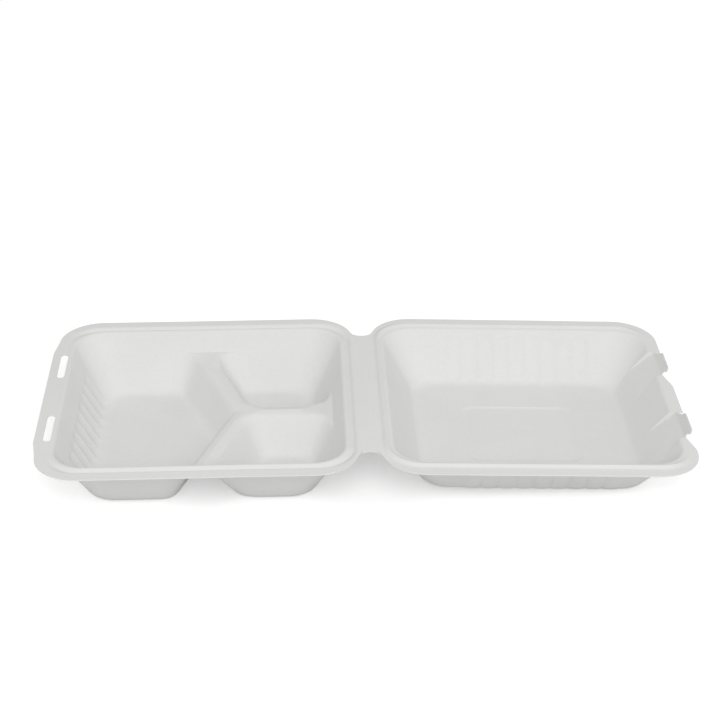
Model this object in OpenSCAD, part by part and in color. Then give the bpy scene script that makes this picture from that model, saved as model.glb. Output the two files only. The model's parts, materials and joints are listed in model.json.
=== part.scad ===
// Hinged food container moulded from bagasse pulp, lying open.
// Both halves are drawn in one half frame: x runs outwards from the fold line, y runs
// along it and z = 0 is the plane where the two rims meet when the container is shut.

/* [Outline] */
// Width of both halves along the fold line
width = 230; // [215:1:250]
// Reach of the base from the fold line to its outer edge
base_reach = 234.5; // [232:0.5:250]
// How much less far the lid reaches than the base
lid_shortfall = 2.5; // [0:0.1:3.5]
// Radius of the outline's corners
outline_radius = 32; // [26:1:40]
// Extra reach of the base's flange where the slots are
slot_land = 2.8; // [1:0.1:5]
// Half the length of that wider stretch
slot_land_half = 66; // [64:1:76]
// Half the length of the hinge strip at the fold line
hinge_half = 85.5; // [75:0.5:95]
// Radius of the hollow at each end of the hinge strip
hinge_notch_radius = 9; // [5:0.5:14]
// Width of the score line under the fold, measured on one half
score_width = 0.5; // [0.3:0.1:1]

/* [Moulded wall] */
// Thickness of the pulp wall
wall = 0.9; // [0.7:0.05:1.3]
// Height of the base from the table to the rim
base_depth = 44; // [38:0.5:52]
// Depth of the lid from its rim to its outside
lid_depth = 37; // [30:0.5:43]
// Distance from the fold line to the top edge of either cavity
cavity_start = 17.5; // [16:0.5:20]
// Rim left between the far top edge of either cavity and the base's outer edge
far_rim = 13; // [12:0.5:16]
// Rim left between the cavity's long edges and the outline
cavity_margin = 17; // [15:0.5:20]
// Corner radius of the cavities at the rim
cavity_radius = 24; // [18:1:28]
// Radius that joins the walls to the floors
floor_fillet = 8; // [5:0.5:10]
// Sideways run of the base's walls down to the table
base_wall_run = 23.2; // [18:0.1:26]
// Sideways run of the lid's walls down to its floor
lid_wall_run = 23.2; // [18:0.1:26]

/* [Rim] */
// Distance from the cavity edge outwards to the middle of the bead and groove
bead_offset = 5.7; // [5:0.1:6]
// Height of the lid's bead
bead_height = 1.8; // [1:0.1:2.2]
// Half width of the lid's bead
bead_half = 3; // [2.4:0.1:3]
// Room left between the bead and the base's groove
bead_gap = 0.3; // [0.2:0.05:0.5]
// Distance over which bead and groove die out on the side with the tabs
bead_fade = 24; // [18:1:30]

/* [Compartments] */
// Drop from the rim to the top of the dividers
divider_drop = 15; // [10:0.5:20]
// Distance from the fold line to where the dividers meet the long walls
divider_end = 125; // [112:1:135]
// Distance from the fold line to where the three dividers join
divider_joint = 91; // [84:1:100]
// Half width of the flat on top of a divider
divider_flat_half = 0.8; // [0.4:0.1:2]
// Radius of a divider's rounded top
divider_radius = 8; // [5:0.5:10]
// Radius of a compartment's corners beside a divider
divider_corner = 16; // [12:0.5:20]

/* [Flutes] */
// Number of flutes down the large compartment's end wall
base_flutes = 9; // [6:1:9]
// Distance between the base's flutes
base_flute_pitch = 13.8; // [12:0.1:14]
// Number of flutes down each long wall of the lid
lid_flutes = 9; // [5:1:10]
// Distance between the lid's flutes
lid_flute_pitch = 12.5; // [11:0.1:14]
// Distance from the fold line to the middle of the lid's row of flutes
lid_flute_middle = 124; // [115:1:130]
// How far a flute stands out of the wall
flute_depth = 1.1; // [0.6:0.1:1.6]

/* [Lid panel] */
// Distance from the fold line to the near edge of the panel in the lid's floor
panel_start = 76; // [68:1:90]
// Length of the panel away from the fold line
panel_length = 85; // [60:1:90]
// Width of the panel along the fold line
panel_width = 79; // [60:1:90]
// Corner radius of the panel
panel_radius = 9; // [6:0.5:14]
// Depth of the panel below the lid's floor
panel_depth = 0.8; // [0.5:0.1:1]

/* [Locking tabs] */
// Distance from the middle of the part to the middle of each tab and slot
tab_middle = 45.5; // [42:0.5:48]
// Distance from the middle of the slots to the outer edge of the widened flange
slot_margin = 9; // [8.6:0.1:11]
// Length of a slot
slot_length = 36; // [32:0.5:38]
// Width of a slot
slot_width = 5.6; // [5:0.1:6]
// Room between a tab and each end of its slot
tab_gap = 0.7; // [0.4:0.1:1.5]
// Height of a tab above the lid's rim
tab_height = 9; // [6:0.5:12]
// How far a tab leans outwards over its height
tab_lean = 3; // [0.5:0.1:3.2]
// Depth below the rim at which the wall starts to run out into a tab
tab_root_drop = 20; // [14:0.5:26]
// How far the hook at a tab's front end reaches past its root
tab_hook = 5.5; // [2:0.5:8]
// Length of the flange's hollow edge in front of a tab
tab_relief = 17; // [8:1:18]

/* [Hidden] */
pulp_base = [0.84, 0.84, 0.83];
pulp_lid = [0.87, 0.87, 0.85];
arc_steps = 7;
fillet_steps = 4;
crown_steps = 4;
flute_steps = 4;
// Length by which one solid reaches into another that it is cut from or joined to
bite = 1;
// Small step where two solids would otherwise end on the same face
step = 0.02;
above = 3;
half_width = width / 2;
lid_reach = base_reach - lid_shortfall;
cavity_end = base_reach - far_rim;
slot_reach = base_reach + slot_land - slot_margin;
cavity_half = half_width - cavity_margin;
bead_steps = [-1, -0.62, -0.3, 0, 0.3, 0.62, 1];
groove_half = bead_half + bead_gap;
// Flat stretch outside the bead or groove, in which the flange overlaps the moulded rim
rim_seam = 0.5;
rim_lip = bead_offset + groove_half + rim_seam;
// Rounded top edge of the cavity: how far inwards and how high, beside the rim
edge_curve = [[-1.5, -0.05], [-0.8, -0.4], [-0.1, -1.1], [0.5, -2.3]];
edge_end = edge_curve[len(edge_curve) - 1];
base_run = base_wall_run / base_depth;
lid_run = (lid_wall_run - edge_end.x) / (lid_depth + edge_end.y);
base_slope = atan(base_run);
lid_slope = atan(lid_run);
lid_end = cavity_end - lid_wall_run;
// The open lid rests on the table with its far end, so it hangs a little below level
lid_tilt = asin(base_depth / norm([lid_depth, lid_end])) - atan2(lid_depth, lid_end);
// Where the fold line lies, with the middle of the open container at zero
fold_place = (base_reach + slot_land - lid_reach * cos(lid_tilt)) / 2;
// Sideways shift that keeps a wall's thickness when its outside is drawn one wall lower
base_skin = wall * (1 - sin(base_slope)) / cos(base_slope);
lid_skin = wall * (1 - sin(lid_slope)) / cos(lid_slope);
base_inset = edge_end.x + (divider_drop + edge_end.y) * base_run;
base_floor = wall - base_depth;
lid_floor = wall - lid_depth;
// Half width that a divider would have at its top without its rounding
divider_half = divider_flat_half + divider_radius * cos(base_slope)
    - divider_radius * (1 - sin(base_slope)) * base_run;
// Inside of a tab where it leaves the rim
tab_reach = slot_reach - (tab_lean + wall) / 2;
tab_half = slot_length / 2 - tab_gap;
// Rounding in the corners of the pocket whose floor runs out into a tab
pocket_round = 2.5;
// How much narrower the pocket is at its bottom, on each side
pocket_taper = 5;
// Drop from the lid's rounded rim edge to the top of its flutes
flute_drop = 4;

function turn(p) = [-p.y, p.x];
function unit(p) = p / norm(p);
function smooth(t) = let (c = min(1, max(0, t))) c * c * (3 - 2 * c);
function corner_radius(inset) = cavity_radius - 0.3 * inset;
function level(ring, z) = [for (p = ring) [p.x, p.y, z]];
function backwards(list) = [for (i = [len(list) - 1 : -1 : 0]) list[i]];
function mirrored(list) = [for (p = list) [p.x, -p.y]];

// Anticlockwise polygon with each side moved inwards and each corner rounded
function rounded_polygon(corners, insets, radii) =
    let (count = len(corners))
    [for (i = [0 : count - 1])
        let (before = (i + count - 1) % count,
            after = (i + 1) % count,
            n1 = turn(unit(corners[i] - corners[before])),
            n2 = turn(unit(corners[after] - corners[i])),
            cross = n1.x * n2.y - n1.y * n2.x,
            s1 = insets[before] + radii[i],
            s2 = insets[i] + radii[i],
            centre = corners[i] + (s1 * [n2.y, -n2.x] - s2 * [n1.y, -n1.x]) / cross,
            first = atan2(-n1.y, -n1.x),
            sweep = (atan2(-n2.y, -n2.x) - first + 720) % 360)
        for (k = [0 : arc_steps])
            let (a = first + sweep * k / arc_steps)
            centre + radii[i] * [cos(a), sin(a)]];

// Outline of the cavity at an inset from its top edge
function cavity_ring(inset) =
    rounded_polygon(
        [[cavity_start, -cavity_half], [cavity_end, -cavity_half],
            [cavity_end, cavity_half], [cavity_start, cavity_half]],
        [inset, inset, inset, inset],
        [for (i = [0 : 3]) corner_radius(inset)]);

// Share of the bead that is left at a reach: none along the side with the tabs
function bead_share(x) = smooth((cavity_end + rim_lip - x) / bead_fade);

// Rings across the rim, from the flat flange over the bead or groove to the wall
function rim_rings(height, half, drop) =
    concat(
        [level(cavity_ring(-rim_lip), -step - drop)],
        [for (s = bead_steps)
            [for (p = cavity_ring(-bead_offset + s * half))
                [p.x, p.y, height * (1 + cos(180 * s)) / 2 * bead_share(p.x) - step - drop]]],
        [for (e = edge_curve) level(cavity_ring(e.x), e.y - drop)]);

// Inset and height down a wall and round its fillet to the floor
function wall_curve(slope, top, floor_z) =
    let (foot = floor_z + floor_fillet * (1 - sin(slope)),
        middle = (top - foot) * tan(slope) + floor_fillet * cos(slope))
    [for (k = [0 : fillet_steps])
        let (a = slope + (90 - slope) * k / fillet_steps)
        [middle - floor_fillet * cos(a), floor_z + floor_fillet * (1 - sin(a))]];

// Closed solid through rings of equal count, anticlockwise and from the top down
module loft(rings) {
    count = len(rings[0]);
    levels = len(rings);
    polyhedron(
        points = [for (r = rings) each r],
        faces = concat(
            [[for (i = [count - 1 : -1 : 0]) i]],
            [for (j = [0 : levels - 2]) for (i = [0 : count - 1])
                let (a = j * count + i, b = j * count + (i + 1) % count)
                each [[a, b, a + count], [b, b + count, a + count]]],
            [[for (i = [0 : count - 1]) (levels - 1) * count + i]]),
        convexity = 6);
}

// Angle at which the hollow end of the hinge strip meets the outline's corner circle
neck_rise = hinge_half + hinge_notch_radius - (half_width - outline_radius);
neck_reach = sqrt(pow(outline_radius + hinge_notch_radius, 2) - neck_rise * neck_rise);
neck_angle = atan2(neck_rise, neck_reach);

function arc(centre, radius, from, to) =
    [for (k = [0 : arc_steps])
        let (a = from + (to - from) * k / arc_steps)
        centre + radius * [cos(a), sin(a)]];

// Outline from the fold line to the far side, where y is positive
function outline_side(reach) =
    concat(
        arc([0, hinge_half + hinge_notch_radius], hinge_notch_radius, 270, 360 - neck_angle),
        arc([neck_reach, half_width - outline_radius], outline_radius, 180 - neck_angle, 90),
        arc([reach - outline_radius, half_width - outline_radius], outline_radius, 90, 0));

// Flat flange round the cavity, up to the outer foot of the bead or groove
module flange(reach, far_edge) {
    translate([0, 0, -wall]) linear_extrude(wall) difference() {
        polygon(concat(
            outline_side(reach), far_edge, backwards(mirrored(outline_side(reach)))));
        polygon(cavity_ring(rim_seam / 2 - rim_lip));
    }
}

// Half of the V-shaped score line under the fold, which lets the halves fold together
module fold_score() {
    lean = score_width / wall;
    translate([0, half_width, 0]) rotate([90, 0, 0]) linear_extrude(width)
        polygon([[-bite * 2, bite], [step - lean * bite, bite],
            [step + lean * (wall + bite), -wall - bite], [-bite * 2, -wall - bite]]);
}

// Row of shallow flutes that meet in sharp edges, as a solid which stands out of a wall.
// Along the wall is x, outwards is y, and places holds reach, height and share of depth,
// or below zero how far the row's end lies behind the wall.
module flute_row(count, pitch, places) {
    start = -count * pitch / 2;
    function out(p, i) = p.x + (p.z < 0 ? p.z
        : 2 * step + flute_depth * p.z * sin(180 * (i % flute_steps) / flute_steps));
    loft([for (p = places) concat(
        [[start, p.x - 2 * bite, p.y], [-start, p.x - 2 * bite, p.y]],
        [for (i = [count * flute_steps : -1 : 0])
            [start + i * pitch / flute_steps, out(p, i), p.y]])]);
}

// Where flutes run down a wall: they fade in at its top and out round its fillet
function flute_places(reach, slope, top, floor_z, drop, skin) =
    let (walls = wall_curve(slope, top, floor_z), fade = 4, behind = -bite / 4)
    concat(
        [[reach + skin, top - drop, behind],
            [reach + skin - fade * tan(slope), top - fade - drop, 1]],
        [for (k = [0 : fillet_steps])
            [reach + skin - walls[k].x, walls[k].y - drop,
                k == fillet_steps ? behind : 1 - pow(k / fillet_steps, 2)]]);

// One compartment, in bands that shrink downwards. Sides marked outer follow the walls of
// the base, and the others follow the dividers, which have a rounded top.
module compartment(corners, outer, skin, drop) {
    walls = wall_curve(base_slope, -divider_drop, base_floor);
    crown = [for (k = [0 : crown_steps])
        let (a = (90 - base_slope) * k / crown_steps,
            fall = divider_radius * (1 - cos(a)))
        [fall * base_run, divider_flat_half + divider_radius * sin(a), -divider_drop - fall]];
    foot = [for (w = walls) [w.x, w.x + divider_half, w.y]];
    // The room starts a little higher, so that nothing is left between it and what is above
    mouth = [crown[0].x, crown[0].y, -divider_drop + (drop > 0 ? wall / 2 : bite)];
    for (k = [0 : crown_steps - 1])
        hull() loft([slice(corners, outer, crown[k], skin, drop),
            slice(corners, outer, crown[k + 1], skin, drop)]);
    hull() loft([slice(corners, outer, mouth, skin, drop),
        slice(corners, outer, crown[0], skin, drop)]);
    hull() loft([for (f = concat([crown[crown_steps]], foot))
        slice(corners, outer, f, skin, drop)]);
}

// Outline of a compartment at a place: inset of its walls, half divider, and height
function slice(corners, outer, place, skin, drop) =
    let (count = len(corners))
    level(rounded_polygon(corners,
        [for (o = outer) (o ? place.x + 2 * step : place.y) - skin],
        [for (i = [0 : count - 1])
            outer[i] && outer[(i + count - 1) % count]
                ? corner_radius(base_inset + place.x - skin)
                : divider_corner - 0.35 * place.x]), place.z - drop);

// The three compartments: their hollows or, with skin and drop, their outsides
module compartments(skin, drop) {
    near = cavity_start + base_inset;
    far = cavity_end - base_inset;
    side = cavity_half - base_inset;
    compartment([[divider_end, -side], [far, -side], [far, side], [divider_end, side],
        [divider_joint, 0]], [true, true, true, false, false], skin, drop);
    compartment([[near, -side], [divider_end, -side], [divider_joint, 0], [near, 0]],
        [true, false, false, true], skin, drop);
    compartment([[near, 0], [divider_joint, 0], [divider_end, side], [near, side]],
        [false, false, true, true], skin, drop);
    rotate([0, 0, -90]) flute_row(base_flutes, base_flute_pitch,
        flute_places(far, base_slope, -divider_drop, base_floor, drop, skin));
}

// Ring and height at which the cavity's solids start, above the rim
function room_top(drop) =
    drop > 0 ? level(cavity_ring(rim_seam / 4 - rim_lip), above - bite)
        : level(cavity_ring(-rim_lip - bite), above);

module base_room(skin, drop) {
    loft(concat(
        [room_top(drop)],
        rim_rings(-bead_height - bead_gap, groove_half, drop),
        [level(cavity_ring(base_inset - skin), -divider_drop - drop)]));
    compartments(skin, drop);
}

module slot(middle) {
    straight = (slot_length - slot_width) / 2;
    translate([slot_reach, middle, -above]) linear_extrude(2 * above) hull()
        for (end = [-1, 1]) translate([0, end * straight]) circle(d = slot_width, $fn = 16);
}

module base_tray() {
    color(pulp_base) translate([fold_place, 0, base_depth]) mirror([1, 0, 0]) difference() {
        union() {
            flange(base_reach, [[base_reach + slot_land, slot_land_half],
                [base_reach + slot_land, -slot_land_half]]);
            base_room(base_skin, wall);
        }
        base_room(0, 0);
        for (side = [-1, 1]) slot(side * tab_middle);
        fold_score();
    }
}

module lid_room(skin, drop) {
    walls = wall_curve(lid_slope, edge_end.y, lid_floor);
    loft(concat(
        [room_top(drop)],
        rim_rings(bead_height, bead_half, drop),
        [for (w = walls) level(cavity_ring(edge_end.x + w.x - skin), w.y - drop)]));
    flute_top = edge_end.y - flute_drop;
    reach = cavity_half - edge_end.x - flute_drop * lid_run;
    for (side = [0, 1]) translate([lid_flute_middle, 0, 0]) mirror([0, side, 0])
        flute_row(lid_flutes, lid_flute_pitch,
            flute_places(reach, lid_slope, flute_top, lid_floor, drop, skin));
    lid_panel(drop);
}

// Sunk panel in the lid's floor, with sloping sides
module lid_panel(drop) {
    size = [panel_length, panel_width] - 2 * [panel_radius, panel_radius];
    middle = panel_start + panel_length / 2;
    side_run = 1.2;
    translate([middle, 0, lid_floor - drop]) hull() for (rim = [0, 1])
        translate([0, 0, rim == 0 ? -panel_depth : 0]) linear_extrude(wall / 2)
            offset(panel_radius - (1 - rim) * side_run + drop / 2, $fn = 32)
                square(size, center = true);
}

// Wedge that runs from the lid's end wall up and out to a tab, for its inside or outside
module tab_wedge(radius, inside) {
    root = [cavity_end - edge_end.x - (tab_root_drop + edge_end.y) * lid_run, -tab_root_drop];
    rim = [tab_reach, 0];
    tip = [tab_reach + tab_lean, tab_height];
    ramp_in = turn(unit(rim - root)) * pocket_round;
    tab_in = turn(unit(tip - rim)) * pocket_round;
    spread = tab_half - pocket_round;
    open_reach = 18;
    cover_reach = 4;
    spots = concat(
        [[root + ramp_in, spread - pocket_taper], [rim + (ramp_in + tab_in) / 2, spread],
            [tip + tab_in + unit(tip - rim) * pocket_round, spread]],
        inside
            ? [[[cavity_end - open_reach, tab_height + above], spread],
                [root + ramp_in * 2, spread - pocket_taper - bite]]
            : [[[cavity_end - cover_reach, -radius], spread]]);
    hull() for (s = spots) for (side = [-1, 1])
        translate([s[0].x, side * s[1], s[0].y]) sphere(radius, $fn = 12);
}

// Outline of a tab seen from the fold line: its back end slopes up from the rim, and a
// hook at its front end catches below the base's flange, past the end of the slot
module tab_outline() {
    tip_round = 1.8;
    shoulder = 0.6 * tab_height;
    hull() for (y = [tip_round - tab_half - tab_hook, 1])
        translate([y, tab_height - tip_round]) circle(tip_round, $fn = 16);
    hull() {
        translate([-tab_half, -bite]) square([2 * tab_half, bite]);
        translate([-tab_half, shoulder]) square([tab_half + 5, bite / 2]);
    }
    hull() {
        translate([-tab_half, 0.25 * tab_height]) square([bite, bite / 2]);
        for (y = [-tab_half - tab_hook, -tab_half])
            translate([y, shoulder]) square([bite, bite / 2]);
    }
}

// What is cut from the lid's edge outside a tab, and more gently in front of it
module tab_notch(middle) {
    back = tab_reach + wall;
    translate([0, middle, -above]) linear_extrude(2 * above) polygon([
        [back, tab_half], [back, -tab_half], [lid_reach, -tab_half - tab_relief],
        [lid_reach + bite, -tab_half - tab_relief], [lid_reach + bite, tab_half]]);
}

// Part of a tab's wedge that lies below the rim
module tab_ramp(middle) {
    room = 60;
    intersection() {
        translate([0, middle, 0]) tab_wedge(pocket_round + wall, false);
        translate([cavity_end - room / 2, middle - room / 2, -room - step])
            cube([room, room, room]);
    }
}

module tab(middle) {
    translate([tab_reach, middle, 0]) rotate([0, atan(tab_lean / tab_height), 0])
        rotate([90, 0, 90]) linear_extrude(wall) tab_outline();
}

module lid() {
    color(pulp_lid) translate([fold_place, 0, base_depth]) rotate([0, lid_tilt, 0]) {
        difference() {
            union() {
                flange(lid_reach, []);
                lid_room(lid_skin, wall);
                for (side = [-1, 1]) tab_ramp(side * tab_middle);
            }
            lid_room(0, 0);
            for (side = [-1, 1]) translate([0, side * tab_middle, 0]) tab_wedge(pocket_round, true);
            for (side = [-1, 1]) tab_notch(side * tab_middle);
            fold_score();
        }
        for (side = [-1, 1]) tab(side * tab_middle);
    }
}

base_tray();
lid();
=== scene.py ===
import json
import math
import bpy
from mathutils import Matrix, Vector


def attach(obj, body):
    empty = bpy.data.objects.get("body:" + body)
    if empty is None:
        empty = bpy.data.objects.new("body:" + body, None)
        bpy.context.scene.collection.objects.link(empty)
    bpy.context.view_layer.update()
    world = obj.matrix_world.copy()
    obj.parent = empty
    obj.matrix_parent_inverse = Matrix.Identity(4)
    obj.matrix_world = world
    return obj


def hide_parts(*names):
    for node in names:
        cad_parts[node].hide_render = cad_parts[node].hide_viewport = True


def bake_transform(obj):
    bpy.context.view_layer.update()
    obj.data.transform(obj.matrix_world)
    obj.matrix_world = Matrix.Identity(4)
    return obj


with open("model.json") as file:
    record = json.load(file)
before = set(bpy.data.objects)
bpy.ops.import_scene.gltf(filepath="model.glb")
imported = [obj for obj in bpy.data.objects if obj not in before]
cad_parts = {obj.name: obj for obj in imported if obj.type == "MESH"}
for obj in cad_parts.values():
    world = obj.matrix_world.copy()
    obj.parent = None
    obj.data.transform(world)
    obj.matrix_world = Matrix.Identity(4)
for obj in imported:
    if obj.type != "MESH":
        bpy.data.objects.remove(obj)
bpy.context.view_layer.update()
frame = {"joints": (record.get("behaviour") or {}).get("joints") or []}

# ------------------------------------------------------------------ Base shell
# The deep half of one moulding of sugar cane pulp, drained on a wire mould and
# pressed hot: three compartments parted by low ridges, a fluted end wall, and a
# flat flange with a groove for the lid's bead and two punched slots.

fold = frame["joints"][0]["pos_m"][0] * 1000
rim_height = 44.0
wall_thickness = 0.9
fillet = 8.0

# Mouth of both halves at the rim, from the fold line; rings are insets of it
mouth_near, mouth_far, mouth_side = 17.5, 221.5, 98
mouth_middle, mouth_half = 119.5, 102
mouth_round, round_loss = 24, 0.3
corner_steps = 20

# The rim's inner edge: its roundness, and where the wall starts below it
crest_round, wall_inset, wall_drop = 2.8, 0.5, 2.3
wall_lean = 23.2

# The flange's edge: round notches beside the hinge strip and round corners
strip_half = 6
notch_at, notch_round = 94.5, 9
corner_at, corner_side, corner_round = 39.354, 83, 32
flat_inset = -9.5
pressing_end, pressing_fade = 231, 24


def smooth(t):
    t = min(1.0, max(0.0, t))
    return t * t * (3 - 2 * t)


def bulge(u, limit, radius):
    """How far a side bends in at an offset along it, and its direction there."""
    if abs(u) <= limit:
        return 0.0, 0.0
    turn = math.asin(min(1.0, (abs(u) - limit) / radius))
    return radius * (1 - math.cos(turn)), math.copysign(turn, u)


def side(half, radius, offsets):
    """Points along one side of a rounded rectangle, from corner to corner."""
    limit = half - radius
    most = 0.95 * (limit + radius * math.sin(math.pi / 4)) / max(-offsets[0], offsets[-1])
    offsets = [u * min(1.0, most) for u in offsets]
    found = [(u, *bulge(u, limit, radius)) for u in offsets]
    ends = []
    for sign, end in ((-1, -offsets[0]), (1, offsets[-1])):
        straight = max(0.0, limit - end)
        first = bulge(end, limit, radius)[1]
        bend = (math.pi / 4 - first) * radius
        part = []
        for k in range(1, corner_steps + 1):
            s = (straight + bend) * k / corner_steps
            a = first + max(0.0, s - straight) / radius
            u = end + s if s < straight else limit + radius * math.sin(a)
            if s < straight:
                a = 0.0
            part.append((sign * u, radius * (1 - math.cos(a)), sign * a))
        ends.append(part)
    return ends[0][::-1] + found + ends[1]


def ring(inset, along, across):
    """Mouth outline at an inset: places and outward directions, anticlockwise.
    along holds offsets on the long sides, across those on the near and far one."""
    radius = mouth_round - round_loss * inset
    ends = side(mouth_side - inset, radius, across)
    longs = side(mouth_half - inset, radius, along)
    found = [((mouth_far - inset - s, u), (math.cos(a), math.sin(a))) for u, s, a in ends[:-1]]
    found += [((mouth_middle + u, mouth_side - inset - s), (math.sin(a), math.cos(a)))
              for u, s, a in longs[:0:-1]]
    found += [((mouth_near + inset + s, u), (-math.cos(a), math.sin(a)))
              for u, s, a in ends[:0:-1]]
    found += [((mouth_middle + u, inset + s - mouth_side), (math.sin(a), -math.cos(a)))
              for u, s, a in longs[:-1]]
    return found


def arc(x, y, radius, start, stop, count=24):
    turns = [math.radians(start + (stop - start) * k / count) for k in range(count + 1)]
    return [(x + radius * math.cos(t), y + radius * math.sin(t)) for t in turns]


def outline(reach, far):
    """Edge of the flange from the hinge strip round to it again."""
    half = [(strip_half, 0)] + arc(0, notch_at, notch_round, 311.81, 343.71)
    half += arc(corner_at, corner_side, corner_round, 163.71, 90)
    half += arc(reach - corner_round, corner_side, corner_round, 90, 0) + far
    return [(x, -y) for x, y in half[::-1]][:-1] + half[1:]


def hit(point, way, edge):
    """Where a ray from a point meets the outline."""
    best = None
    for a, b in zip(edge, edge[1:] + edge[:1]):
        dx, dy = b[0] - a[0], b[1] - a[1]
        cross = way[0] * dy - way[1] * dx
        if abs(cross) < 1e-9:
            continue
        t = ((a[0] - point[0]) * dy - (a[1] - point[1]) * dx) / cross
        s = ((a[0] - point[0]) * way[1] - (a[1] - point[1]) * way[0]) / cross
        if t > 0 and -1e-6 <= s <= 1 + 1e-6 and (best is None or t < best):
            best = t
    return point[0] + best * way[0], point[1] + best * way[1]


def inset_at(x, y):
    """Inset of the mouth outline that runs through a place."""
    a, b = min(x - mouth_near, mouth_far - x), mouth_side - abs(y)
    low, high = min(a, b), max(a, b)
    keep = 1 - round_loss
    if high >= mouth_round + keep * low:
        return low
    a, b = a - mouth_round, b - mouth_round
    square = 2 * keep ** 2 - round_loss ** 2
    linear = 2 * mouth_round * round_loss - 2 * keep * (a + b)
    root = linear ** 2 - 4 * square * (a * a + b * b - mouth_round ** 2)
    return (math.sqrt(max(0.0, root)) - linear) / (2 * square)


def wall_height(run, drop, floor):
    """Height down a wall by its inset, and round the fillet to the floor."""
    angle = math.atan(run)
    centre = floor + fillet
    middle = (drop - centre) * run + fillet / math.cos(angle)

    def height(inset):
        if inset <= middle - fillet * math.cos(angle):
            return drop - inset / run
        if inset >= middle:
            return floor
        return centre - math.sqrt(fillet ** 2 - (middle - inset) ** 2)
    return height


def crest(run, steps):
    """Insets and heights round the rim's inner edge, from below the flat to the wall."""
    middle = (wall_inset + run * (crest_round - wall_drop)
              - crest_round * math.sqrt(1 + run * run))
    turns = [(math.pi / 2 - math.atan(run)) * k / steps for k in range(1, steps + 1)]
    return [(middle + crest_round * math.sin(t), crest_round * math.cos(t) - crest_round)
            for t in turns]


def rim_levels(edge, hem, pressing, along, across):
    """Rings from the flange's edge to the wall. What is pressed into the flange,
    up to one inset, fades out before the far edge."""
    starts = [(p, hit(p, way, edge)) for p, way in ring(flat_inset, along, across)]
    levels = [[(p[0] + (e[0] - p[0]) * share, p[1] + (e[1] - p[1]) * share, 0.0)
               for p, e in starts] for share in (1, 0.66, 0.33)]
    for inset, height in hem:
        levels.append([(x, y, height * smooth((pressing_end - x) / pressing_fade)
                        if inset < pressing else height)
                       for (x, y), way in ring(inset, along, across)])
    return levels


def sheet(levels, nx, ny, place, flip):
    """Points and faces of a sheet through rings from the outline inwards, closed by
    a patch that runs smoothly between the four sides of the last ring."""
    count = 2 * (nx + ny)
    plan = [p for level in levels for p in level]
    last = len(plan) - count
    faces = [(r * count + i, r * count + (i + 1) % count, (r + 1) * count + (i + 1) % count,
              (r + 1) * count + i) for r in range(len(levels) - 1) for i in range(count)]
    index = {}
    for j in range(ny + 1):
        index[nx, j] = last + j
        index[0, ny - j] = last + ny + nx + j
    for i in range(nx + 1):
        index[nx - i, ny] = last + ny + i
        index[i, 0] = last + (2 * ny + nx + i) % count
    inner = plan[last:]

    def edge(i, j):
        return inner[index[i, j] - last]
    for i in range(1, nx):
        for j in range(1, ny):
            u, v = i / nx, j / ny
            index[i, j] = len(plan)
            plan.append(tuple(
                (1 - v) * edge(i, 0)[c] + v * edge(i, ny)[c]
                + (1 - u) * edge(0, j)[c] + u * edge(nx, j)[c]
                - (1 - u) * (1 - v) * edge(0, 0)[c] - u * (1 - v) * edge(nx, 0)[c]
                - (1 - u) * v * edge(0, ny)[c] - u * v * edge(nx, ny)[c] for c in (0, 1)))
    faces += [(index[i, j], index[i + 1, j], index[i + 1, j + 1], index[i, j + 1])
              for i in range(nx) for j in range(ny)]
    if flip:
        faces = [f[::-1] for f in faces]
    return [place(*p) for p in plan], faces


# The ridges: from the middle one they slant away to both long walls
ridge_drop = 15.0
ridge_joint, ridge_end = 91, 125
ridge_half, ridge_round = 0.8, 8
ridge_join, ridge_shift = 7.88, 5.63
ridge_blend = 1.5
well_round, well_round_loss, well_deepest = 16, 0.35, 20

base_run = wall_lean / rim_height
base_wall = wall_height(base_run, -ridge_drop, wall_thickness - rim_height)
ledge = wall_inset + (ridge_drop - wall_drop) * base_run
ridge_lean = math.atan2(ridge_end - ridge_joint, mouth_side - ledge)


def soft_min(a, b, k):
    h = max(k - abs(a - b), 0.0) / k
    return min(a, b) - h * h * k / 4


def beside_ridge(b):
    """Inset that a place at a distance from a ridge's middle line stands for."""
    if b < ridge_half:
        return b - ridge_half
    if b < ridge_join:
        return base_run * (ridge_round - math.sqrt(ridge_round ** 2 - (b - ridge_half) ** 2))
    return b - ridge_shift


def well_corner(a, b, angle):
    """Rounds the corner of a compartment, tighter towards its floor."""
    size = well_round - well_round_loss * max(0.0, min(a, b, well_deepest))
    return soft_min(a, b, 4 * size * (1 - math.sin(angle / 2)))


def base_height(x, y):
    inset = inset_at(x, y)
    if inset < wall_inset:
        return (ledge - inset) / base_run - ridge_drop
    wall = inset - ledge
    off = (x - ridge_joint) * math.cos(ridge_lean) - abs(y) * math.sin(ridge_lean)
    slant, slant_back, middle = beside_ridge(off), beside_ridge(-off), beside_ridge(abs(y))
    large = well_corner(slant, wall, math.pi / 2 + ridge_lean)
    small = well_corner(well_corner(slant_back, middle, math.pi / 2 + ridge_lean), wall,
                        math.pi / 2 - ridge_lean)
    spot = max(large, small)
    if spot > -ridge_blend:
        spot = -soft_min(-spot, 0.0, ridge_blend)
    return max(base_wall(wall), base_wall(max(0.0, spot)))


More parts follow.
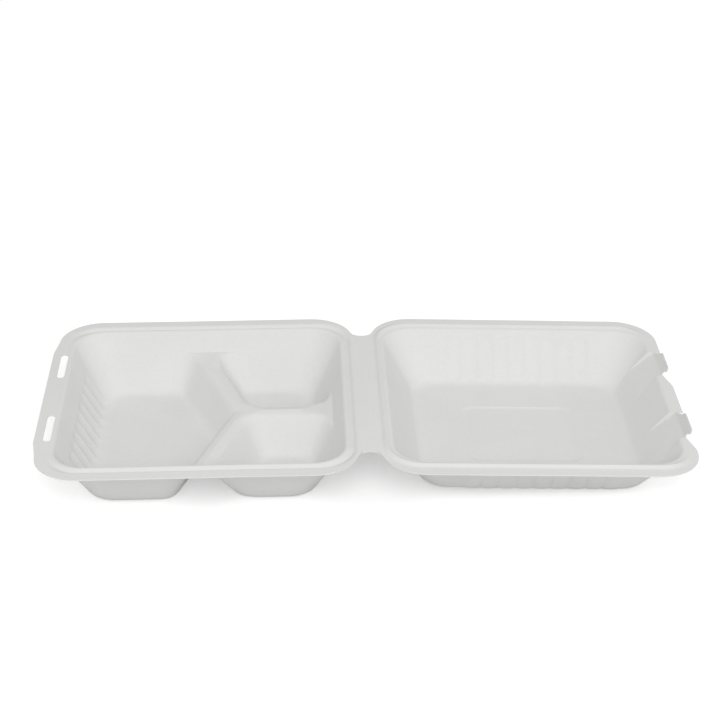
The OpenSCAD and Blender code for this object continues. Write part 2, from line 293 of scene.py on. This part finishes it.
base_flute, base_flute_depth, flutes_across = 13.8, 1.1, 9
groove_at, groove_half, groove_depth = -5.7, 3.3, 2.1
base_reach, slot_reach, slot_land = 234.5, 237.3, 66
along = [ridge_joint - mouth_middle + 5 / 3 * k for k in range(-19, 54)]
across = [base_flute / 8 * k for k in range(-36, 37)]
nx = ny = 72 + 2 * corner_steps
hem = [(flat_inset, 0.0)]
hem += [(groove_at + groove_half * s, -groove_depth / 2 * (1 + math.cos(math.pi * s)))
        for s in (-1, -0.78, -0.56, -0.37, -0.18, 0, 0.18, 0.37, 0.56, 0.78, 1)]
hem += crest(base_run, 6)
levels = rim_levels(outline(base_reach, [(slot_reach, slot_land), (slot_reach, 0)]), hem,
                    groove_at + groove_half, along, across)
for inset in (0.5, 1.9, 3.6, 5.4, 6.6, 7.2, 7.8, 8.5, 9.3, 10.2, 11.2, 12.4, 13.8, 15.2, 16.6,
              18, 19.3, 20.6, 21.9, 23.2, 24.6, 26.1, 27.6):
    levels.append([(x, y, None) for (x, y), way in ring(inset, along, across)])


def base_place(x, y, z=None):
    """Sheet point in the frame; its columns lean so that they run along the ridges."""
    lean_start, lean_end = 45, 190
    if z is None:
        lean = max(0.0, min((x - lean_start) / (ridge_joint - lean_start),
                            (lean_end - x) / (lean_end - ridge_joint)))
        x += math.tan(ridge_lean) * abs(y) * lean * smooth((inset_at(x, y) - wall_inset) / 6)
        z = base_height(x, y)
    return fold - x, y, rim_height + z


points, faces = sheet(levels, nx, ny, base_place, True)

# Flutes run down the end wall and fade in the fillet at its foot
flat_foot, foot_reach = 12.566, 7.07
flutes = []
for x, y, z in points:
    drop, inset = rim_height - z, mouth_far - (fold - x)
    fluted = (drop > ridge_drop and abs(y) < base_flute * flutes_across / 2
              and inset < 27.6)
    share = smooth((drop - ridge_drop) / 4) if fluted else 0.0
    if inset - ledge > flat_foot:
        share *= max(0.0, 1 - ((inset - ledge - flat_foot) / foot_reach) ** 2)
    flutes.append((y / base_flute + 0.5, (-share, 0.0, 0.0)))
slack = [smooth((abs(fold - x) - 8) / 90) for x, y, z in points]

# The punch that cuts the two slots
slot_at, slot_middle, slot_half, slot_round = 228.3, 45.5, 15.2, 2.8
cut_points, cut_faces = [], []
for middle in (-slot_middle, slot_middle):
    rim = arc(slot_at, middle + slot_half, slot_round, 0, 180)
    rim += arc(slot_at, middle - slot_half, slot_round, 180, 360)
    start, count = len(cut_points), len(rim)
    cut_points += [((fold - x) / 1000, y / 1000, (rim_height + z) / 1000)
                   for z in (3, -3) for x, y in rim]
    cut_faces += [tuple(range(start + count - 1, start - 1, -1)),
                  tuple(range(start + count, start + 2 * count))]
    cut_faces += [(start + i, start + (i + 1) % count, start + count + (i + 1) % count,
                   start + count + i) for i in range(count)]
punch = bpy.data.meshes.new("slot_punch")
punch.from_pydata(cut_points, [], cut_faces)
cutter = bpy.data.objects.new("slot_punch", punch)
bpy.context.collection.objects.link(cutter)


def pulp_material(name):
    """Matt, slightly warm white pulp: cloudy where the fibres lie thicker, with
    short hair-like fibres and a fine orange peel."""
    mat = bpy.data.materials.new(name)
    mat.use_nodes = True
    nodes, links = mat.node_tree.nodes, mat.node_tree.links
    shader = nodes["Principled BSDF"]
    place = nodes.new("ShaderNodeTexCoord").outputs["Object"]

    def noise(scale, detail, stretch=None, roughness=0.5):
        vector = place
        if stretch:
            turn = nodes.new("ShaderNodeMapping")
            turn.inputs["Rotation"].default_value = stretch[0]
            turn.inputs["Scale"].default_value = stretch[1]
            links.new(place, turn.inputs["Vector"])
            vector = turn.outputs["Vector"]
        node = nodes.new("ShaderNodeTexNoise")
        node.inputs["Scale"].default_value = scale
        node.inputs["Detail"].default_value = detail
        node.inputs["Roughness"].default_value = roughness
        links.new(vector, node.inputs["Vector"])
        return node.outputs["Fac"]

    def ramp(source, stops):
        node = nodes.new("ShaderNodeValToRGB")
        for element, (at, value) in zip(node.color_ramp.elements, stops):
            element.position = at
            element.color = (*value, 1) if isinstance(value, tuple) else (value,) * 3 + (1,)
        links.new(source, node.inputs["Fac"])
        return node.outputs["Color"]

    def mixed(kind, share, a, b):
        node = nodes.new("ShaderNodeMix")
        node.data_type = "RGBA"
        node.blend_type = kind
        node.inputs["Factor"].default_value = share
        links.new(a, node.inputs["A"])
        links.new(b, node.inputs["B"])
        return node.outputs["Result"]

    thin, thick = (0.782, 0.782, 0.768), (0.80, 0.80, 0.788)
    cloud = ramp(noise(28, 3), [(0.3, thin), (0.7, thick)])
    speckle = ramp(noise(420, 2, roughness=0.6), [(0.28, 0.96), (0.5, 1.0)])
    fibre_one = noise(260, 1, ((0.3, 0.2, 0.5), (1, 7, 3)))
    fibre_two = noise(240, 1, ((0.1, 0.5, 2.1), (1, 8, 3)))
    hairs = ramp(fibre_one, [(0.62, 1.0), (0.74, 0.96)])
    colour = mixed("MULTIPLY", 0.5, mixed("MULTIPLY", 0.6, cloud, speckle), hairs)
    links.new(colour, shader.inputs["Base Color"])
    links.new(ramp(noise(90, 3), [(0.3, 0.78), (0.7, 0.92)]), shader.inputs["Roughness"])
    shader.inputs["Specular IOR Level"].default_value = 0.3
    shader.inputs["Sheen Weight"].default_value = 0.08
    shader.inputs["Sheen Roughness"].default_value = 0.6

    surface = None
    for source, depth in ((noise(520, 3, roughness=0.6), 0.00004), (fibre_one, 0.00005),
                          (fibre_two, 0.00005), (noise(60, 2), 0.0002)):
        bump = nodes.new("ShaderNodeBump")
        bump.inputs["Strength"].default_value = 0.5
        bump.inputs["Distance"].default_value = depth
        links.new(source, bump.inputs["Height"])
        if surface:
            links.new(surface, bump.inputs["Normal"])
        surface = bump.outputs["Normal"]
    links.new(surface, shader.inputs["Normal"])
    return mat


def forming_tree():
    """What the mould does to a drawn sheet: it is pushed outwards along its flutes
    and lifted by a slight wave."""
    tree = bpy.data.node_groups.new("pulp_forming", "GeometryNodeTree")
    face = tree.interface
    face.new_socket("Geometry", in_out="INPUT", socket_type="NodeSocketGeometry")
    for label in ("Flute depth", "Wave height", "Wave scale"):
        face.new_socket(label, in_out="INPUT", socket_type="NodeSocketFloat")
    face.new_socket("Pulp", in_out="INPUT", socket_type="NodeSocketMaterial")
    face.new_socket("Geometry", in_out="OUTPUT", socket_type="NodeSocketGeometry")
    nodes, links = tree.nodes, tree.links
    given = nodes.new("NodeGroupInput").outputs
    result = nodes.new("NodeGroupOutput").inputs

    def attribute(label, kind):
        node = nodes.new("GeometryNodeInputNamedAttribute")
        node.data_type = kind
        node.inputs["Name"].default_value = label
        return node.outputs["Attribute"]

    def maths(kind, a, b=None):
        node = nodes.new("ShaderNodeMath")
        node.operation = kind
        for socket, value in zip(node.inputs, (a, b)):
            if isinstance(value, (int, float)):
                socket.default_value = value
            elif value is not None:
                links.new(value, socket)
        return node.outputs["Value"]

    def scaled(vector, factor):
        node = nodes.new("ShaderNodeVectorMath")
        node.operation = "SCALE"
        if isinstance(vector, tuple):
            node.inputs[0].default_value = vector
        else:
            links.new(vector, node.inputs[0])
        links.new(factor, node.inputs["Scale"])
        return node.outputs["Vector"]

    # Rounded channels side by side, which meet in sharp edges
    wave = maths("POWER", maths("ABSOLUTE", maths("SINE", maths(
        "MULTIPLY", attribute("flute_run", "FLOAT"), math.pi))), 0.75)
    push = scaled(attribute("flute_out", "FLOAT_VECTOR"),
                  maths("MULTIPLY", wave, given["Flute depth"]))
    noise = nodes.new("ShaderNodeTexNoise")
    noise.inputs["Detail"].default_value = 1
    links.new(given["Wave scale"], noise.inputs["Scale"])
    links.new(attribute("at_rest", "FLOAT_VECTOR"), noise.inputs["Vector"])
    lift = scaled((0, 0, 1), maths("MULTIPLY", attribute("slack", "FLOAT"), maths(
        "MULTIPLY", maths("SUBTRACT", noise.outputs["Fac"], 0.5), given["Wave height"])))
    shift = nodes.new("ShaderNodeVectorMath")
    shift.operation = "ADD"
    links.new(push, shift.inputs[0])
    links.new(lift, shift.inputs[1])
    move = nodes.new("GeometryNodeSetPosition")
    real = nodes.new("GeometryNodeRealizeInstances")
    paint = nodes.new("GeometryNodeSetMaterial")
    links.new(given["Geometry"], move.inputs["Geometry"])
    links.new(shift.outputs["Vector"], move.inputs["Offset"])
    links.new(move.outputs["Geometry"], real.inputs["Geometry"])
    links.new(real.outputs["Geometry"], paint.inputs["Geometry"])
    links.new(given["Pulp"], paint.inputs["Material"])
    links.new(paint.outputs["Geometry"], result["Geometry"])
    return tree


forming = forming_tree()


def formed(name, points, faces, flutes, slack, pulp, flute_depth, cutter=None):
    """A wall of even thickness below a drawn sheet, as one plain mesh in metres."""
    sizes = {"Flute depth": flute_depth / 1000, "Wave height": 0.0005, "Wave scale": 16.0,
             "Pulp": pulp}
    mesh = bpy.data.meshes.new(name)
    mesh.from_pydata([tuple(c / 1000 for c in p) for p in points], [], faces)
    mesh.attributes.new("flute_run", "FLOAT", "POINT").data.foreach_set(
        "value", [f[0] for f in flutes])
    mesh.attributes.new("flute_out", "FLOAT_VECTOR", "POINT").data.foreach_set(
        "vector", [c for f in flutes for c in f[1]])
    mesh.attributes.new("at_rest", "FLOAT_VECTOR", "POINT").data.foreach_set(
        "vector", [c / 1000 for p in points for c in p])
    mesh.attributes.new("slack", "FLOAT", "POINT").data.foreach_set("value", slack)
    drawn = bpy.data.objects.new(name + "_drawn", mesh)
    bpy.context.collection.objects.link(drawn)
    nodes = drawn.modifiers.new("forming", "NODES")
    nodes.node_group = forming
    for item in forming.interface.items_tree:
        if item.in_out == "INPUT" and item.name in sizes:
            nodes[item.identifier] = sizes[item.name]
    wall = drawn.modifiers.new("wall", "SOLIDIFY")
    wall.thickness = wall_thickness / 1000
    wall.offset = -1
    wall.use_quality_normals = True
    if cutter:
        cut = drawn.modifiers.new("slots", "BOOLEAN")
        cut.operation = "DIFFERENCE"
        cut.solver = "EXACT"
        cut.object = cutter
    graph = bpy.context.evaluated_depsgraph_get()
    baked = bpy.data.meshes.new_from_object(drawn.evaluated_get(graph), depsgraph=graph)
    for spare in (drawn, cutter):
        if spare:
            bpy.data.objects.remove(spare)
    baked.shade_smooth()
    baked.set_sharp_from_angle(angle=math.radians(24))
    piece = bpy.data.objects.new(name, baked)
    bpy.context.collection.objects.link(piece)
    return piece


base_pulp = pulp_material("pulp_of_base")
base_shell = formed("base_shell", points, faces, flutes, slack, base_pulp, base_flute_depth,
                    cutter)
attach(base_shell, "base")
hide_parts("base_tray")

# ------------------------------------------------------------------- Lid shell
# The shallower half of the same moulding, lying open. Its long walls are fluted,
# its floor has a sunk panel, a bead round its rim snaps into the base's groove,
# and two hooked tabs stand up out of pockets pressed into its end wall.

lid_depth, lid_foot, lid_reach = 37, 198.3, 232
lid_floor = lid_depth - wall_thickness
lid_run = (wall_lean - wall_inset) / (lid_depth - wall_drop)
lid_wall = wall_height(lid_run, -wall_drop, -lid_floor)
tilt = math.asin(rim_height / math.hypot(lid_depth, lid_foot)) - math.atan2(lid_depth, lid_foot)

tab_middle, tab_half, tab_gap = 45.5, 17.3, 0.5
tab_root, tab_lean = 226.35, 3
tab_height, tab_shoulder, tab_low = 9.0, 5.9, 0.9
hook_length, hook_round, hook_start, hook_rise = 5.5, 1.8, 3, 2.4
tab_edge = tab_half + 0.01


def lid_place(x, y, z):
    return (fold + x * math.cos(tilt) + z * math.sin(tilt), y,
            rim_height - x * math.sin(tilt) + z * math.cos(tilt))


def tab_rise(y):
    """Height of a tab's upper edge by its distance behind the tab's middle."""
    top_end, slope_start = 1, 5
    if y > slope_start:
        return max(tab_low, tab_shoulder * (tab_half - y) / (tab_half - slope_start))
    if y > top_end:
        turn = math.pi / 2 * (slope_start - y) / (slope_start - top_end)
        return tab_shoulder + (tab_height - tab_shoulder) * math.sin(turn)
    return tab_height


def steps(start, stop, count):
    return [start + (stop - start) * k / count for k in range(count)]


first_flute, flute, lid_flutes, lid_flute_depth = 67.75, 12.5, 9, 1.3
last_flute = first_flute + flute * lid_flutes
along = [first_flute - mouth_middle + flute * (k + s) for k in range(lid_flutes)
         for s in (0, 0.06, 0.15, 0.26, 0.38, 0.5, 0.62, 0.74, 0.85, 0.94)]
along.append(last_flute - mouth_middle)
tab_start, tab_end = tab_middle - tab_half, tab_middle + tab_half
half = steps(0, tab_start - tab_gap, 18) + [tab_start - tab_gap]
half += steps(tab_start, tab_end, 26) + [tab_end, tab_end + tab_gap, 64.6, 66]
across = [-y for y in half[:0:-1]] + half
nx, ny = len(along) - 1 + 2 * corner_steps, len(across) - 1 + 2 * corner_steps

# One row of the bead runs through the tabs' roots
bead_at, bead_half, bead_height = -5.7, 3, 1.8
root_step = (mouth_far - tab_root - bead_at) / bead_half
hem = [(flat_inset, 0.0)]
hem += [(bead_at + bead_half * s, bead_height / 2 * (1 + math.cos(math.pi * s)))
        for s in (-1, -0.75, -0.5, -0.25, 0, root_step, 0.5, 0.75, 1)]
root_row = 3 + 1 + 5
hem += crest(lid_run, 6)
turn = math.atan(lid_run)
foot = (wall_inset + lid_run * (lid_floor - fillet - wall_drop)
        + fillet * math.sqrt(1 + lid_run ** 2))
flat_end = foot - fillet * math.cos(turn)
last_ring = 28.5
down = [0.5, 2, 3.6, 5.4, 7.2, 9, 10.8, 12.6, 14.4, 16.2, 18]
down += [foot - fillet * math.cos(turn + (math.pi / 2 - turn) * k / 6) for k in range(7)]
hem += [(d, lid_wall(d - wall_inset)) for d in down + [last_ring]]
levels = rim_levels(outline(lid_reach, [(lid_reach, 0)]), hem, bead_at + bead_half, along, across)

# A tab's pocket is a ramp from the end wall up to the rim, where it goes on as
# the tab; beside and before a tab the flange is cut back to make room
lip, lip_left, cut_back = lid_reach - tab_root, 0.9, 17
pocket_depth, pocket_length, pocket_edge, pocket_side = 20, 16.95, 17.9, 24
for row, level in enumerate(levels):
    for j in range(ny):
        x, y, z = level[j]
        for middle in (-tab_middle, tab_middle):
            part = y - middle
            size = abs(part)
            if row < root_row and size < tab_edge:
                z = tab_rise(part) * (root_row - row) / root_row
                x = tab_root + z / tab_lean
            elif row < root_row and -tab_half - cut_back < part < 0:
                left = lip_left + (lip - lip_left) * (-tab_half - part) / cut_back
                x = tab_root + (x - tab_root) * left / lip
            elif row >= root_row and size < pocket_side:
                ramp = (x - tab_root) * pocket_depth / pocket_length
                narrow = max(-5.0, ramp / 4) * smooth((x - 201) / 8)
                if size > pocket_edge:
                    narrow *= (pocket_side - size) / (pocket_side - pocket_edge)
                elif size < tab_edge:
                    narrow *= size / tab_half
                    z = min(z, ramp) if ramp > -pocket_depth else z
                y += math.copysign(narrow, part)
        level[j] = (x, y, z)

panel_middle, panel_half, panel_side = 118.5, 33.5, 30.5
panel_round, panel_depth, panel_edge = 9, 0.8, 1.8


def open_lid_place(x, y, z=None):
    """Lid sheet point in the frame, with the panel sunk into its floor."""
    if z is None:
        past, out = abs(x - panel_middle) - panel_half, abs(y) - panel_side
        inside = panel_round - math.hypot(max(past, 0), max(out, 0)) - min(max(past, out), 0)
        z = -lid_floor - panel_depth * smooth(inside / panel_edge)
    return lid_place(x, y, z)


points, faces = sheet(levels, nx, ny, open_lid_place, False)

# Slits free the tabs' sides from the flange, and each tab gets its hook
count = 2 * (nx + ny)
on_tab = [abs(abs(p[1]) - tab_middle) < tab_edge for p in levels[0][:ny + 1]]
slits = {row * count + j for row in range(root_row) for j in range(ny)
         if on_tab[j] != on_tab[j + 1]}
faces = [f for f in faces if f[0] not in slits or f[0] >= (len(levels) - 1) * count]
hook_rows = 6
for middle in (-tab_middle, tab_middle):
    root = min(range(ny), key=lambda j: abs(levels[0][j][1] - (middle - tab_half)))
    before = [row * count + root for row in range(hook_rows + 1)]
    for out in (1, 2.2, 3.4, 4.3, 5, 5.4):
        past = out - (hook_length - hook_round)
        round_off = math.sqrt(hook_round ** 2 - max(0.0, past) ** 2)
        top = tab_height - hook_round + round_off
        low = hook_start + hook_rise * out / hook_length
        if past > 0:
            low = max(low, tab_height - hook_round - round_off)
        now = []
        for row in range(hook_rows + 1):
            z = low + (top - low) * (hook_rows - row) / hook_rows
            now.append(len(points))
            points.append(lid_place(tab_root + z / tab_lean, middle - tab_half - out, z))
        faces += [(now[r], before[r], before[r + 1], now[r + 1]) for r in range(hook_rows)]
        before = now

flutes, slack = [], []
for x, y, z in points:
    x, z = x - fold, z - rim_height
    reach = x * math.cos(tilt) - z * math.sin(tilt)
    drop = -x * math.sin(tilt) - z * math.cos(tilt)
    inset = mouth_side - abs(y)
    fluted = first_flute < reach < last_flute and 0 < inset < last_ring
    share = smooth((drop - 3.6) / 4) if fluted else 0.0
    if inset > flat_end:
        share *= max(0.0, 1 - ((inset - flat_end) / (foot - flat_end)) ** 2)
    flutes.append(((reach - first_flute) / flute, (0.0, math.copysign(share, y), 0.0)))
    slack.append(smooth((reach - 8) / 90) * smooth((222 - reach) / 12))
lid_pulp = pulp_material("pulp_of_lid")
lid_shell = formed("lid_shell", points, faces, flutes, slack, lid_pulp, lid_flute_depth)
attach(lid_shell, "lid")
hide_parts("lid")

# ----------------------------------------------------------------- Hinge strip
# The same pulp runs on between the two halves as a flat strip, pressed thin
# along its middle and creased on both sides of it, so that it folds there.

crease_at, crease_depth, crease_width = 3, 0.12, 0.35
thin_half, thin_depth = 0.9, 0.5
rows = 140
right_half = [0.4, 0.8, 1.2, 1.8, 2.4, 2.8, 3.2, 3.6, 4.2, 5, strip_half]
stations = [-x for x in right_half[::-1]] + [0] + right_half
points, faces = [], []
for x in stations:
    end = notch_at - math.sqrt(notch_round ** 2 - x * x)
    crease = 0.0
    if abs(x) < 4.5:
        crease = -crease_depth * math.exp(-((abs(x) - crease_at) / crease_width) ** 2)
    for j in range(rows + 1):
        y = end * (2 * j / rows - 1)
        points.append(lid_place(x, y, crease) if x > 0 else (fold + x, y, rim_height + crease))
for i in range(len(stations) - 1):
    for j in range(rows):
        a = i * (rows + 1) + j
        faces.append((a, a + rows + 1, a + rows + 2, a + 1))
still = [(0.0, (0.0, 0.0, 0.0))] * len(points)
hinge_strip = formed("hinge_strip", points, faces, still, [0.0] * len(points), base_pulp, 0.0)
for vertex in hinge_strip.data.vertices:
    off = abs(vertex.co.x * 1000 - fold)
    if vertex.co.z * 1000 < rim_height - 0.6 and off < thin_half:
        vertex.co.z += thin_depth / 1000 * (1 - off / thin_half)
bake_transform(hinge_strip)

# ---------------------------------------------------------- Floor, light, view
# A white table top. The light is a large soft one above the camera's side, so
# faces that look towards the camera are the brightest, with a pale room around.

bpy.ops.mesh.primitive_plane_add(size=12, location=(0, 2, 0))
floor = bpy.context.object
floor.name = "floor"


def seen_by_camera(tree, lit, shown):
    """Gives one shader to the light and another to the camera."""
    seen = tree.nodes.new("ShaderNodeMixShader")
    ray = tree.nodes.new("ShaderNodeLightPath")
    tree.links.new(ray.outputs["Is Camera Ray"], seen.inputs["Fac"])
    tree.links.new(lit, seen.inputs[1])
    tree.links.new(shown, seen.inputs[2])
    return seen.outputs["Shader"]


table = bpy.data.materials.new("white_table")
table.use_nodes = True
tree = table.node_tree
tree.nodes.clear()
matt = tree.nodes.new("ShaderNodeBsdfDiffuse")
matt.inputs["Color"].default_value = (0.86, 0.86, 0.86, 1)
glow = tree.nodes.new("ShaderNodeEmission")
glow.inputs["Color"].default_value = (1, 1, 1, 1)
glow.inputs["Strength"].default_value = 0.42
both = tree.nodes.new("ShaderNodeAddShader")
tree.links.new(matt.outputs["BSDF"], both.inputs[0])
tree.links.new(glow.outputs["Emission"], both.inputs[1])
tree.links.new(seen_by_camera(tree, matt.outputs["BSDF"], both.outputs["Shader"]),
               tree.nodes.new("ShaderNodeOutputMaterial").inputs["Surface"])
floor.data.materials.append(table)

world = bpy.data.worlds.new("pale_room")
bpy.context.scene.world = world
world.use_nodes = True
tree = world.node_tree
room = tree.nodes["Background"]
room.inputs["Color"].default_value = (1, 1, 1, 1)
room.inputs["Strength"].default_value = 0.54
backdrop = tree.nodes.new("ShaderNodeBackground")
backdrop.inputs["Color"].default_value = (1, 1, 1, 1)
backdrop.inputs["Strength"].default_value = 1.0
tree.links.new(seen_by_camera(tree, room.outputs["Background"], backdrop.outputs["Background"]),
               tree.nodes["World Output"].inputs["Surface"])

for name, spot, power in (("key_light", (0, -1.9, 1.7), 26), ("right_light", (1.9, -0.5, 1.2), 4.6),
                          ("left_light", (-1.9, -0.5, 1.2), 1.5)):
    lamp = bpy.data.lights.new(name, "AREA")
    lamp.shape = "SQUARE"
    lamp.size = 1.3
    lamp.energy = power
    holder = bpy.data.objects.new(name, lamp)
    holder.location = spot
    aim = Vector((0, 0, 0.03)) - Vector(spot)
    holder.rotation_euler = aim.to_track_quat("-Z", "Y").to_euler()
    bpy.context.collection.objects.link(holder)

lens = bpy.data.cameras.new("view")
lens.lens = 90
lens.sensor_width = 36
lens.clip_end = 50
camera = bpy.data.objects.new("view", lens)
right = Vector((0.99931, -0.03705, -0.00138))
up = Vector((0.01910, 0.48260, 0.87563))
back = right.cross(up)
spot = Vector(((fold - 46.12) / 1000, -1.15583, 0.70747))
camera.matrix_world = Matrix((
    (right.x, up.x, back.x, spot.x), (right.y, up.y, back.y, spot.y),
    (right.z, up.z, back.z, spot.z), (0, 0, 0, 1)))
bpy.context.collection.objects.link(camera)
bpy.context.scene.camera = camera
bpy.context.scene.view_settings.view_transform = "Standard"
